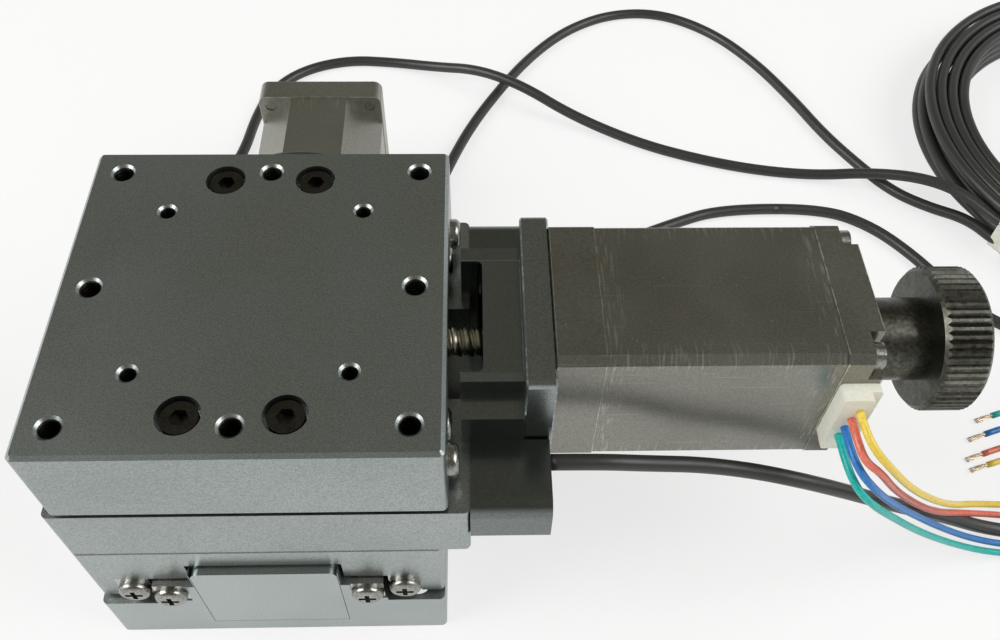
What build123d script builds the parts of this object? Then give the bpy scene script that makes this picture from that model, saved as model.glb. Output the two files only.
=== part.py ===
"""Two-axis motorised linear translation stage: two crossed-roller stages stacked at right angles.

Millimetres, +Z up. The origin is on the bottom face, in the middle of the lower base's mounting
holes. The upper table travels along X, and the lower table, which carries it, travels along Y.
Both stages are the same design, so each piece is drawn once, on the plane of its own axis:
the plane's x is the travel, with the motor on its positive end, and its z is up.
"""

from math import radians, tan
import os

from build123d import *

os.makedirs("parts", exist_ok=True)

# ---------------------------------------------------------------- driving dimensions
# Tables
table_size = 60.0
stage_height = 31.0
edge_round = 1.0
top_chamfer = 0.6
web_thickness = 5.4
notch_half = 13.0
step_thickness = 10.5
leg_inner = 26.0
leg_gap = 1.0

# Base
ledge_height = 13.0
free_overhang = 1.4
motor_overhang = 3.3
boss_half = 12.4
boss_height = 25.0
boss_end = 29.5
channel_half = 9.4
channel_floor = 7.0
channel_start = -23.0
rail_seat_height = 14.0
mount_pitch = 50.0
base_hole_radius = 2.25
base_head_radius = 4.0
base_head_depth = 4.4

# Crossed-roller guides
rail_width = 5.6
rail_height = 6.0
rail_gap = 0.8
roller_line = 20.0
roller_height = 17.25
groove_side = 2.0
roller_size = 1.9
roller_count = 8
roller_pitch = 4.6
cage_thickness = 0.4
cage_height = 4.0
cage_margin = 2.4
rail_hole_inset = 2.8
rail_hole_radius = 1.25
rail_hole_depth = 4.5
table_screw_pitch = 15.0
base_screw_pitch = 30.0

# Threaded holes and screws
m4_tap_radius = 1.65
m3_tap_radius = 1.25
m4_pitch = 25.0
m3_pitch = 32.0
m4_depth = 8.0
m3_depth = 6.0
hole_chamfer = 0.4
m3_head_radius = 2.75
m3_head_height = 3.0
m3_shank_radius = 1.2
m3_clear_radius = 1.6
m3_hex_radius = 1.45
m3_counterbore_radius = 3.3
m3_counterbore_depth = 3.6
m4_head_radius = 3.5
m4_shank_radius = 1.6
pan_head_height = 1.7
pan_cross_width = 0.8
pan_cross_length = 3.0

# Drive
screw_height = 16.0
screw_radius = 2.5
journal_radius = 2.0
running_gap = 0.02
free_bearing_radius = 4.5
bearing_length = 4.0
drive_bearing_radius = 5.0
nut_radius = 5.0
nut_length = 14.0
nut_flange_radius = 7.0
nut_flange_length = 3.0
nut_clearance = 0.3
nut_block_half = 8.2
nut_block_length = 10.0
nut_block_bottom = 9.0

# End cover, bracket, flange and sensor housing
cover_half = 12.2
cover_bottom = 4.0
cover_thickness = 1.6
cover_gap = 0.1
bracket_half = 17.5
bracket_height = 19.8
bracket_rise = 23.6
bracket_rise_half = 12.4
bracket_end = 41.8
bracket_lip = 1.4
bracket_foot = 1.0
pocket_half = 11.2
pocket_end = 35.5
flange_half = 17.15
flange_thickness = 4.7
flange_bottom = 2.0
flange_top = 28.7
flange_bore = 11.0
housing_length = 12.7
housing_inner = 17.5
housing_bottom = 5.0
housing_top = 13.5
housing_round = 2.6
housing_exit = (-20.8, 12.0)

# Motors, 28 mm square
motor_size = 28.0
cap_proud = 0.15
front_cap_length = 7.4
upper_stator_length = 36.4
upper_rear_cap_length = 6.5
lower_stator_length = 28.5
lower_rear_cap_length = 5.6
upper_edge_cut = 1.3
lower_edge_cut = 7.6
cap_round = 2.0
corner_pocket = 5.0
corner_pocket_depth = 2.4
motor_screw_pitch = 23.0
motor_screw_radius = 1.2
motor_screw_head = 2.1
motor_screw_length = 5.0
rotor_radius = 9.0
rotor_gap = 0.3
shaft_gap = 0.1

# Plug of the upper motor
plug_width = 6.4
plug_height = 14.4
plug_depth = 3.2
plug_offset = 3.5
plug_rise = 0.6
plug_step = 0.8

# Knob
knob_gap = 0.4
hub_radius = 7.0
hub_length = 11.3
knob_radius = 12.2
knob_width = 7.9
knob_chamfer = 0.8
knurl_count = 56
knurl_depth = 0.45

# Cables and leads
cable_diameter = 2.7
lead_diameter = 1.3
coil_x = 214.0
coil_y = 95.0
coil_radius = 54.0
coil_width = 11.6
coil_height = 5.4
tie_angle = 213.0
tie_gap = 0.2
tie_width = 4.0
tie_thickness = 0.5

# ---------------------------------------------------------------- derived sizes
table_half = table_size / 2
free_end = -table_half - free_overhang
motor_end = table_half + motor_overhang
web_bottom = stage_height - web_thickness
step_bottom = stage_height - step_thickness
leg_bottom = ledge_height + leg_gap
base_centre = -free_overhang
inner_rail_inside = roller_line - rail_gap / 2 - rail_width
outer_rail_inside = roller_line + rail_gap / 2
outer_rail_outside = outer_rail_inside + rail_width
inner_hole_line = inner_rail_inside + rail_hole_inset
outer_hole_line = outer_rail_outside - rail_hole_inset
inner_rail_start = free_end + 0.2
inner_rail_end = inner_rail_start + table_size
inner_rail_middle = (inner_rail_start + inner_rail_end) / 2
groove_depth = groove_side / 2**0.5 - rail_gap / 2
flange_end = bracket_end + flange_thickness
stator_start = flange_end + front_cap_length
coil_level = tie_thickness + tie_gap

# The two axes. Each table stands free_overhang past the middle of its travel, toward its motor.
lower_axis = Plane(origin=(0, free_overhang, 0), x_dir=(0, 1, 0), z_dir=(0, 0, 1))
upper_axis = Plane(
    origin=(free_overhang, free_overhang, stage_height), x_dir=(1, 0, 0), z_dir=(0, 0, 1)
)


# ---------------------------------------------------------------- planes of an axis
def square_to(axis, along, across=0.0, up=0.0):
    """Plane square to the travel that faces the motor: its x is across and its y is up."""
    origin = axis.from_local_coords((along, across, up))
    return Plane(origin=origin, x_dir=axis.y_dir, z_dir=axis.x_dir)


def facing_free_end(axis, along, across=0.0, up=0.0):
    """Plane square to the travel that faces the free end: its x runs backwards across."""
    origin = axis.from_local_coords((along, across, up))
    return Plane(origin=origin, x_dir=-axis.y_dir, z_dir=-axis.x_dir)


def beside(axis, across=0.0):
    """Upright plane along the travel: its x is the travel and its y is up."""
    origin = axis.from_local_coords((0, across, 0))
    return Plane(origin=origin, x_dir=axis.x_dir, z_dir=-axis.y_dir)


def underneath(axis, up=0.0):
    """Level plane that faces down, with x along the travel."""
    return Plane(origin=axis.from_local_coords((0, 0, up)), x_dir=axis.x_dir, z_dir=-axis.z_dir)


def keep(piece, name):
    """Label a finished piece and write its STEP file."""
    piece.part.label = name
    export_step(piece.part, f"parts/{name}.step")


# ---------------------------------------------------------------- tables and bases
def make_table(axis):
    """Inverted channel: a web with a notch for the boss, thick steps over the rails, two legs."""
    with BuildPart() as table:
        with BuildSketch(square_to(axis, -table_half)):
            with BuildLine():
                Polyline(
                    (0, stage_height),
                    (table_half, stage_height),
                    (table_half, leg_bottom),
                    (leg_inner, leg_bottom),
                    (leg_inner, step_bottom),
                    (notch_half, step_bottom),
                    (notch_half, web_bottom),
                    (0, web_bottom),
                )
                mirror(about=Plane.YZ)
            make_face()
        extrude(amount=table_size)
        upright = table.edges().filter_by(axis_line(axis)).filter_by(outer_corner(axis))
        fillet(upright, edge_round)
        rim = table.faces().sort_by(Axis.Z)[-1].outer_wire().edges()
        chamfer(rim, top_chamfer)
        with Locations(axis.offset(stage_height)):
            with GridLocations(2 * m4_pitch, 2 * m4_pitch, 2, 2):
                CounterSinkHole(m4_tap_radius, m4_tap_radius + hole_chamfer, m4_depth, 90)
            with GridLocations(2 * m4_pitch, 0, 2, 1):
                CounterSinkHole(m4_tap_radius, m4_tap_radius + hole_chamfer, counter_sink_angle=90)
            with GridLocations(0, 2 * m4_pitch, 1, 2):
                CounterSinkHole(m4_tap_radius, m4_tap_radius + hole_chamfer, m4_depth, 90)
            with GridLocations(m3_pitch, m3_pitch, 2, 2):
                CounterSinkHole(m3_tap_radius, m3_tap_radius + hole_chamfer, m3_depth, 90)
            with GridLocations(table_screw_pitch, 2 * outer_hole_line, 2, 2):
                CounterBoreHole(m3_clear_radius, m3_counterbore_radius, m3_counterbore_depth)
    return table


def axis_line(axis):
    """Selects edges that run up the axis."""
    return Axis.Z


def outer_corner(axis):
    """Selects edges at the four outer corners of a table."""
    middle = axis.origin

    def at_corner(edge):
        place = edge.center()
        reach = table_half - 0.01
        return abs(place.X - middle.X) > reach and abs(place.Y - middle.Y) > reach

    return at_corner


def make_base(axis):
    """Slab with a raised boss that carries the inner rails, hollowed for the screw and nut."""
    with BuildPart() as base:
        with BuildSketch(axis):
            with Locations(((free_end + motor_end) / 2, 0)):
                RectangleRounded(motor_end - free_end, table_size, edge_round)
        extrude(amount=ledge_height)
        with BuildSketch(square_to(axis, free_end)):
            with BuildLine():
                Polyline(
                    (0, ledge_height),
                    (roller_line, ledge_height),
                    (roller_line, rail_seat_height),
                    (inner_rail_inside, rail_seat_height),
                    (inner_rail_inside, rail_seat_height + rail_height),
                    (boss_half, rail_seat_height + rail_height),
                    (boss_half, boss_height),
                    (0, boss_height),
                )
                mirror(about=Plane.YZ)
            make_face()
        extrude(amount=boss_end - free_end)
        with BuildSketch(axis.offset(channel_floor)):
            with Locations(((channel_start + motor_end) / 2 + edge_round, 0)):
                RectangleRounded(
                    motor_end - channel_start + 2 * edge_round, 2 * channel_half, 2 * edge_round
                )
        extrude(amount=boss_height, mode=Mode.SUBTRACT)
        with BuildSketch(facing_free_end(axis, free_end, up=cover_bottom - cover_gap)):
            height = boss_height - cover_bottom + cover_gap
            with Locations((0, height / 2)):
                Rectangle(2 * (cover_half + cover_gap), height)
        extrude(amount=-cover_thickness, mode=Mode.SUBTRACT)
        bearing_face = facing_free_end(axis, free_end + cover_thickness, up=screw_height)
        with Locations(bearing_face):
            CounterBoreHole(
                journal_radius + 1.0,
                free_bearing_radius,
                bearing_length,
                channel_start - free_end - cover_thickness + 2 * edge_round,
            )
        with Locations(axis.offset(ledge_height)):
            with Locations((base_centre, 0)):
                with GridLocations(mount_pitch, mount_pitch, 2, 2):
                    CounterBoreHole(base_hole_radius, base_head_radius, base_head_depth)
        with Locations(underneath(axis)):
            with Locations((inner_rail_middle, 0)):
                with GridLocations(base_screw_pitch, 2 * inner_hole_line, 2, 2):
                    CounterBoreHole(
                        m3_clear_radius,
                        m3_counterbore_radius,
                        rail_seat_height / 2,
                        rail_seat_height,
                    )
    return base


def make_end_cover(axis):
    """Flush plate over the free end of the screw, with rounded upper corners."""
    with BuildPart() as cover:
        with BuildSketch(square_to(axis, free_end)):
            with Locations((0, (cover_bottom + boss_height) / 2)):
                Rectangle(2 * cover_half, boss_height - cover_bottom)
            fillet(vertices().group_by(Axis.Y)[-1], 1.5)
        extrude(amount=cover_thickness)
    return cover


# ---------------------------------------------------------------- crossed-roller guides
def make_rails(axis, start, inside, bottom, groove_line):
    """Two ground rails with a 90 degree groove each, tapped for mounting and for end screws."""
    outside = inside + rail_width
    groove_inward = groove_line == inside
    groove_tip = inside + groove_depth if groove_inward else outside - groove_depth
    hole_line = outside - rail_hole_inset if groove_inward else inside + rail_hole_inset
    with BuildPart() as rails:
        with BuildSketch(square_to(axis, start)):
            with BuildLine():
                Polyline(
                    (inside, bottom),
                    (outside, bottom),
                    (outside, bottom + rail_height),
                    (inside, bottom + rail_height),
                    close=True,
                )
            make_face()
            with BuildLine():
                Polyline(
                    (groove_line, roller_height - groove_depth),
                    (groove_tip, roller_height),
                    (groove_line, roller_height + groove_depth),
                    close=True,
                )
            make_face(mode=Mode.SUBTRACT)
            mirror(about=Plane.YZ)
        extrude(amount=table_size)
        for end in (square_to(axis, start + table_size), facing_free_end(axis, start)):
            with Locations(end):
                with Locations((hole_line, roller_height), (-hole_line, roller_height)):
                    Hole(rail_hole_radius, rail_hole_depth)
        pitch = table_screw_pitch if groove_inward else base_screw_pitch
        seat = axis.offset(bottom + rail_height) if groove_inward else underneath(axis, bottom)
        with Locations(seat):
            with Locations((start + table_half, 0)):
                with GridLocations(pitch, 2 * hole_line, 2, 2):
                    Hole(rail_hole_radius, rail_hole_depth)
    return rails


def make_cages(axis):
    """Two thin strips that space the rollers, with a window for each."""
    length = (roller_count - 1) * roller_pitch + 2 * cage_margin
    middle = -free_overhang / 2
    with BuildPart() as cages:
        for side in (-1, 1):
            with BuildSketch(beside(axis, side * roller_line - cage_thickness / 2)):
                with Locations((middle, roller_height)):
                    Rectangle(length, cage_height)
                    with GridLocations(roller_pitch, 0, roller_count, 1):
                        Rectangle(roller_size + 0.3, roller_size + 1.0, mode=Mode.SUBTRACT)
            extrude(amount=-cage_thickness)
    return cages


def make_rollers(axis):
    """Rollers between the grooves, each one turned square to its neighbours."""
    first = -free_overhang / 2 - (roller_count - 1) * roller_pitch / 2
    with BuildPart() as rollers:
        for side in (-1, 1):
            for number in range(roller_count):
                lean = 1 if number % 2 else -1
                centre = axis.from_local_coords(
                    (first + number * roller_pitch, side * roller_line, roller_height)
                )
                tilt = axis.z_dir + axis.y_dir * lean
                with Locations(Plane(origin=centre, x_dir=axis.x_dir, z_dir=tilt)):
                    Cylinder(roller_size / 2, roller_size)
    return rollers


def make_end_screws(axis, start, hole_line):
    """Four pan-head screws in the rail ends, which keep the cages in."""
    with BuildPart() as screw:
        with BuildSketch(Plane.XY.offset(0.5 - rail_hole_depth)):
            Circle(m3_shank_radius)
        extrude(amount=rail_hole_depth - 0.5)
        with BuildSketch():
            Circle(m3_head_radius)
        extrude(amount=pan_head_height)
        fillet(screw.faces().sort_by(Axis.Z)[-1].edges(), 0.6 * pan_head_height)
        with BuildSketch(Plane.XY.offset(pan_head_height)):
            Rectangle(pan_cross_length, pan_cross_width)
            Rectangle(pan_cross_width, pan_cross_length)
        extrude(amount=-pan_head_height / 2, mode=Mode.SUBTRACT)
    with BuildPart() as screws:
        for end in (square_to(axis, start + table_size), facing_free_end(axis, start)):
            with Locations(end):
                with Locations((-hole_line, roller_height), (hole_line, roller_height)):
                    add(screw.part)
    return screws


def make_cap_screws(places, head_radius, head_height, shank_radius, length, hex_radius):
    """Socket-head cap screws; each place is the seat of a head and faces out along it."""
    with BuildPart() as screws:
        for place in places:
            with BuildSketch(place):
                Circle(head_radius)
            extrude(amount=head_height)
            with BuildSketch(place.offset(head_height)):
                RegularPolygon(hex_radius, 6)
            extrude(amount=-head_height / 2, mode=Mode.SUBTRACT)
            with BuildSketch(place):
                Circle(shank_radius)
            extrude(amount=-length)
    return screws


def grid_places(plane, middle, along_pitch, across_pitch):
    """Four copies of a plane, at the corners of a rectangle on it."""
    corners = [(x, y) for x in (-0.5, 0.5) for y in (-0.5, 0.5)]
    return [
        Plane(
            origin=plane.from_local_coords((middle + x * along_pitch, y * across_pitch, 0)),
            x_dir=plane.x_dir,
            z_dir=plane.z_dir,
        )
        for x, y in corners
    ]


# ---------------------------------------------------------------- screw drive
def make_lead_screw(axis, shaft_end):
    """Lead screw, free-end journal and motor shaft, turned in one piece."""
    journal_start = free_end + cover_thickness + 0.4
    journal_end = free_end + cover_thickness + bearing_length + 0.4
    with BuildPart() as screw:
        with BuildSketch(beside(axis)):
            with BuildLine():
                Polyline(
                    (journal_start, screw_height),
                    (journal_start, screw_height + journal_radius),
                    (journal_end, screw_height + journal_radius),
                    (journal_end, screw_height + screw_radius),
                    (shaft_end, screw_height + screw_radius),
                    (shaft_end, screw_height),
                    close=True,
                )
            make_face()
        turning_line = axis.from_local_coords((0, 0, screw_height))
        revolve(axis=Axis(turning_line, axis.x_dir))
    return screw


def make_bearings(axis):
    """The two ball bearings of the screw, each with its shields set back."""
    free_start = free_end + cover_thickness
    drive_start = bracket_end - bearing_length
    with BuildPart() as bearings:
        for start, bore, outer in (
            (free_start, journal_radius, free_bearing_radius),
            (drive_start, screw_radius, drive_bearing_radius),
        ):
            inner_wall = bore + running_gap
            ring = (outer - bore) / 4
            with BuildSketch(square_to(axis, start, up=screw_height)):
                Circle(outer)
                Circle(inner_wall, mode=Mode.SUBTRACT)
            extrude(amount=bearing_length)
            for face, sense in ((start, 1), (start + bearing_length, -1)):
                with BuildSketch(square_to(axis, face, up=screw_height)):
                    Circle(outer - ring)
                    Circle(bore + ring, mode=Mode.SUBTRACT)
                extrude(amount=sense * 0.3, mode=Mode.SUBTRACT)
    return bearings


def make_nut_block(axis):
    """Block that hangs from the table's web and holds the nut."""
    with BuildPart() as block:
        with BuildSketch(square_to(axis, -nut_block_length / 2)):
            with Locations((0, (nut_block_bottom + web_bottom) / 2)):
                Rectangle(2 * nut_block_half, web_bottom - nut_block_bottom)
            fillet(vertices().group_by(Axis.Y)[0], 2.0)
        extrude(amount=nut_block_length)
        with BuildSketch(square_to(axis, -nut_block_length / 2, up=screw_height)):
            Circle(nut_radius)
        extrude(amount=nut_block_length, mode=Mode.SUBTRACT)
    return block


def make_nut(axis):
    """Flanged nut, free of the screw by its clearance."""
    with BuildPart() as nut:
        with BuildSketch(square_to(axis, -nut_length / 2, up=screw_height)):
            Circle(nut_radius)
        extrude(amount=nut_length / 2 + nut_block_length / 2)
        with BuildSketch(square_to(axis, nut_block_length / 2, up=screw_height)):
            Circle(nut_flange_radius)
        extrude(amount=nut_flange_length)
        with BuildSketch(square_to(axis, -nut_length / 2, up=screw_height)):
            Circle(screw_radius + nut_clearance)
        extrude(amount=2 * nut_length, mode=Mode.SUBTRACT)
    return nut


def make_bracket(axis):
    """Motor bracket: hooks over the base's end, houses the drive bearing, open over the screw."""
    hook = motor_end - bracket_lip
    with BuildPart() as bracket:
        with BuildSketch(beside(axis)):
            with BuildLine():
                Polyline(
                    (motor_end, bracket_foot),
                    (bracket_end, bracket_foot),
                    (bracket_end, bracket_height),
                    (hook, bracket_height),
                    (hook, ledge_height),
                    (motor_end, ledge_height),
                    close=True,
                )
            make_face()
        extrude(amount=bracket_half, both=True)
        with BuildSketch(square_to(axis, hook)):
            with Locations((0, (bracket_height + bracket_rise) / 2)):
                Rectangle(2 * bracket_rise_half, bracket_rise - bracket_height)
            chamfer(vertices().group_by(Axis.Y)[-1], edge_round)
        extrude(amount=bracket_end - hook)
        with BuildSketch(axis.offset(channel_floor)):
            with Locations((pocket_end - table_half / 2, 0)):
                RectangleRounded(table_half, 2 * pocket_half, edge_round)
        extrude(amount=stage_height, mode=Mode.SUBTRACT)
        with BuildSketch(square_to(axis, pocket_end - 1, up=screw_height)):
            Circle(screw_radius + 1)
        extrude(amount=bracket_end - pocket_end + 1, mode=Mode.SUBTRACT)
        with BuildSketch(square_to(axis, bracket_end, up=screw_height)):
            Circle(drive_bearing_radius)
        extrude(amount=-bearing_length, mode=Mode.SUBTRACT)
    return bracket


def make_flange(axis):
    """Motor flange plate, bored for the motor's shaft."""
    with BuildPart() as flange:
        with BuildSketch(square_to(axis, bracket_end)):
            with Locations((0, (flange_bottom + flange_top) / 2)):
                RectangleRounded(2 * flange_half, flange_top - flange_bottom, 1.2)
        extrude(amount=flange_thickness)
        with BuildSketch(square_to(axis, bracket_end, up=screw_height)):
            Circle(screw_radius + 1)
        extrude(amount=flange_thickness, mode=Mode.SUBTRACT)
        outer_rim = flange.faces().filter_by(Axis(axis.origin, axis.x_dir)).edges()
        chamfer(outer_rim.filter_by(GeomType.LINE), 0.3)
    return flange


def make_sensor_housing(axis):
    """Two closed blocks beside the bracket; a sensor cable leaves the end face of one."""
    height = housing_top - housing_bottom
    with BuildPart() as housing:
        for side in (-1, 1):
            middle = side * (housing_inner + table_half) / 2
            with BuildSketch(square_to(axis, motor_end, middle, (housing_bottom + housing_top) / 2)):
                Rectangle(table_half - housing_inner, height)
                outer = vertices().group_by(Axis.Y)[-1].sort_by(Axis.X)
                fillet(outer[0] if side < 0 else outer[-1], housing_round)
            extrude(amount=housing_length)
    return housing


# ---------------------------------------------------------------- motors
def motor_outline(width, cut):
    """Square with cut corners, drawn on the current sketch."""
    Rectangle(width, width)
    chamfer(vertices(), cut)


def make_front_cap(axis):
    """Front cap of a motor."""
    with BuildPart() as cap:
        with BuildSketch(square_to(axis, flange_end, up=screw_height)):
            motor_outline(motor_size + 2 * cap_proud, upper_edge_cut)
        extrude(amount=front_cap_length)
        with BuildSketch(square_to(axis, flange_end, up=screw_height)):
            Circle(screw_radius + shaft_gap)
        extrude(amount=front_cap_length, mode=Mode.SUBTRACT)
    return cap


def make_stator(axis, length, cut):
    """Laminated body of a motor, bored for its rotor."""
    with BuildPart() as stator:
        with BuildSketch(square_to(axis, stator_start, up=screw_height)):
            motor_outline(motor_size, cut)
            Circle(rotor_radius + rotor_gap, mode=Mode.SUBTRACT)
        extrude(amount=length)
    return stator


def make_rear_cap(axis, start, length, rounded):
    """Rear cap of a motor: screw heads sit in round holes, or in open corners if not rounded."""
    with BuildPart() as cap:
        with BuildSketch(square_to(axis, start, up=screw_height)):
            Rectangle(motor_size + 2 * cap_proud, motor_size + 2 * cap_proud)
            if rounded:
                fillet(vertices(), cap_round)
            else:
                chamfer(vertices(), upper_edge_cut)
        extrude(amount=length)
        with BuildSketch(square_to(axis, start + length, up=screw_height)):
            if rounded:
                with GridLocations(motor_screw_pitch, motor_screw_pitch, 2, 2):
                    Circle(motor_screw_head + 0.1)
            else:
                with GridLocations(motor_size - corner_pocket, motor_size - corner_pocket, 2, 2):
                    Rectangle(corner_pocket + 2 * cap_proud, corner_pocket + 2 * cap_proud)
        extrude(amount=-corner_pocket_depth, mode=Mode.SUBTRACT)
        with BuildSketch(square_to(axis, start, up=screw_height)):
            Circle(screw_radius + shaft_gap)
            with GridLocations(motor_screw_pitch, motor_screw_pitch, 2, 2):
                Circle(motor_screw_radius + 0.05)
        extrude(amount=length, mode=Mode.SUBTRACT)
    return cap


def make_motor_screws(axis, seat):
    """Four screws of the rear cap, with their heads set into it."""
    face = square_to(axis, seat, up=screw_height)
    places = grid_places(face, 0, motor_screw_pitch, motor_screw_pitch)
    return make_cap_screws(
        places, motor_screw_head, corner_pocket_depth * 0.8, motor_screw_radius, 3.0, 0.9
    )


def make_rotor(axis, length):
    """Magnet rotor on the shaft, clear of the stator's ends."""
    with BuildPart() as rotor:
        with BuildSketch(square_to(axis, stator_start + rotor_gap, up=screw_height)):
            Circle(rotor_radius)
            Circle(screw_radius, mode=Mode.SUBTRACT)
        extrude(amount=length - 2 * rotor_gap)
    return rotor


def make_upper_connector(axis, rear_start):
    """White plug on the side of the motor's rear cap: a wide foot and a narrower shroud."""
    seat = beside(axis, -motor_size / 2 - cap_proud)
    centre = (rear_start + plug_offset, screw_height + plug_rise)
    with BuildPart() as connector:
        with BuildSketch(seat):
            with Locations(centre):
                RectangleRounded(plug_width, plug_height, 0.8)
        extrude(amount=plug_depth / 2)
        with BuildSketch(seat.offset(plug_depth / 2)):
            with Locations((centre[0] - plug_step, centre[1])):
                RectangleRounded(plug_width - 2 * plug_step, plug_height, 0.6)
        extrude(amount=plug_depth / 2)
    return connector


def make_lower_connector(axis, rear_start):
    """Low black socket on the lower chamfer of the stator, next to the rear cap."""
    reach = motor_size / 2 - lower_edge_cut / 2
    centre = axis.from_local_coords((rear_start - 6.0, -reach, screw_height - reach))
    chamfer_face = Plane(origin=centre, x_dir=axis.x_dir, z_dir=-axis.z_dir - axis.y_dir)
    with BuildPart() as connector:
        with BuildSketch(chamfer_face):
            RectangleRounded(9.0, 7.0, 0.6)
        extrude(amount=1.2)
    return connector


def make_knob(axis, start):
    """Hand knob: plain hub and a straight-knurled disc, bored for the shaft."""
    disc_start = start + hub_length
    with BuildPart() as knob:
        with BuildSketch(square_to(axis, start, up=screw_height)):
            Circle(hub_radius)
        extrude(amount=hub_length)
        with BuildSketch(square_to(axis, disc_start, up=screw_height)):
            Circle(knob_radius)
        extrude(amount=knob_width)
        rims = knob.edges().filter_by(GeomType.CIRCLE).sort_by(SortBy.RADIUS)[-2:]
        chamfer(rims, knob_chamfer)
        with BuildSketch(square_to(axis, disc_start, up=screw_height)):
            with PolarLocations(knob_radius, knurl_count):
                RegularPolygon(knurl_depth, 4)
        extrude(amount=knob_width, mode=Mode.SUBTRACT)
        with BuildSketch(square_to(axis, start, up=screw_height)):
            Circle(screw_radius)
        extrude(amount=hub_length + knob_width / 2, mode=Mode.SUBTRACT)
    return knob


# ---------------------------------------------------------------- one whole axis
def make_axis(axis, prefix):
    """Everything of one stage apart from its motor's stator, rear cap and connector."""
    keep(make_table(axis), f"{prefix}_table")
    keep(make_base(axis), f"{prefix}_base")
    keep(make_end_cover(axis), f"{prefix}_end_cover")
    table_rail_bottom = step_bottom - rail_height
    table_rails = make_rails(
        axis, -table_half, outer_rail_inside, table_rail_bottom, outer_rail_inside
    )
    keep(table_rails, f"{prefix}_table_rails")
    base_rails = make_rails(
        axis,
        inner_rail_start,
        inner_rail_inside,
        rail_seat_height,
        inner_rail_inside + rail_width,
    )
    keep(base_rails, f"{prefix}_base_rails")
    keep(make_cages(axis), f"{prefix}_roller_cages")
    keep(make_rollers(axis), f"{prefix}_rollers")
    keep(make_end_screws(axis, -table_half, outer_hole_line), f"{prefix}_table_end_screws")
    keep(make_end_screws(axis, inner_rail_start, inner_hole_line), f"{prefix}_base_end_screws")
    head_seat = axis.offset(stage_height - m3_counterbore_depth)
    table_places = grid_places(head_seat, 0, table_screw_pitch, 2 * outer_hole_line)
    table_screw_length = head_seat.origin.Z - axis.origin.Z - step_bottom + 3.0
    keep(
        make_cap_screws(
            table_places,
            m3_head_radius,
            m3_head_height,
            m3_shank_radius,
            table_screw_length,
            m3_hex_radius,
        ),
        f"{prefix}_table_rail_screws",
    )
    base_seat = underneath(axis, rail_seat_height / 2)
    base_places = grid_places(
        base_seat, inner_rail_middle, base_screw_pitch, 2 * inner_hole_line
    )
    keep(
        make_cap_screws(
            base_places,
            m3_head_radius,
            m3_head_height,
            m3_shank_radius,
            rail_seat_height / 2 + 3.0,
            m3_hex_radius,
        ),
        f"{prefix}_base_rail_screws",
    )
    keep(make_bearings(axis), f"{prefix}_bearings")
    keep(make_nut_block(axis), f"{prefix}_nut_block")
    keep(make_nut(axis), f"{prefix}_screw_nut")
    keep(make_bracket(axis), f"{prefix}_motor_bracket")
    keep(make_flange(axis), f"{prefix}_motor_flange")
    keep(make_sensor_housing(axis), f"{prefix}_sensor_housing")
    keep(make_front_cap(axis), f"{prefix}_motor_front_cap")


def make_motor(axis, prefix, stator_length, cap_length, edge_cut, rounded, shaft_end):
    """Stator, rear cap, screws, rotor and shaft of one motor."""
    rear_start = stator_start + stator_length
    keep(make_stator(axis, stator_length, edge_cut), f"{prefix}_motor_stator")
    keep(make_rear_cap(axis, rear_start, cap_length, rounded), f"{prefix}_motor_rear_cap")
    seat = rear_start + cap_length - corner_pocket_depth
    keep(make_motor_screws(axis, seat), f"{prefix}_motor_screws")
    keep(make_rotor(axis, stator_length), f"{prefix}_motor_rotor")
    keep(make_lead_screw(axis, shaft_end), f"{prefix}_lead_screw")
    return rear_start


make_axis(lower_axis, "lower")
make_axis(upper_axis, "upper")

lower_rear = stator_start + lower_stator_length
make_motor(
    lower_axis,
    "lower",
    lower_stator_length,
    lower_rear_cap_length,
    lower_edge_cut,
    True,
    lower_rear + lower_rear_cap_length / 2,
)
keep(make_lower_connector(lower_axis, lower_rear), "lower_motor_connector")

upper_rear = stator_start + upper_stator_length
knob_start = upper_rear + upper_rear_cap_length + knob_gap
make_motor(
    upper_axis,
    "upper",
    upper_stator_length,
    upper_rear_cap_length,
    upper_edge_cut,
    False,
    knob_start + hub_length + knob_width / 2,
)
keep(make_upper_connector(upper_axis, upper_rear), "upper_motor_connector")
keep(make_knob(upper_axis, knob_start), "hand_knob")

stacking_seat = upper_axis.offset(ledge_height - base_head_depth)
stacking_screws = make_cap_screws(
    grid_places(stacking_seat, base_centre, mount_pitch, mount_pitch),
    m4_head_radius,
    base_head_depth - 0.4,
    m4_shank_radius,
    ledge_height - base_head_depth + m4_depth - 2.0,
    m3_hex_radius,
)
keep(stacking_screws, "stacking_screws")


# ---------------------------------------------------------------- cables and leads
def make_cord(points, diameter):
    """Round cord along straight runs joined by tangent arcs, as large as the runs allow."""
    stops = [Vector(*point) for point in points]
    runs = [end - start for start, end in zip(stops, stops[1:])]
    radii = []
    for before, after in zip(runs, runs[1:]):
        turn = radians(before.get_angle(after))
        radii.append(0.45 * min(before.length, after.length) / tan(turn / 2))
    with BuildPart() as cord:
        with BuildLine() as route:
            FilletPolyline(*stops, radius=radii)
        with BuildSketch(Plane(origin=stops[0], z_dir=runs[0])):
            Circle(diameter / 2)
        sweep()
    section = 3.14159265 * diameter**2 / 4
    ratio = cord.part.volume / (section * route.wire().length)
    print(f"cord: least radius {min(radii):.1f}, length {route.wire().length:.0f}, fill {ratio:.4f}")
    return cord


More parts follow.
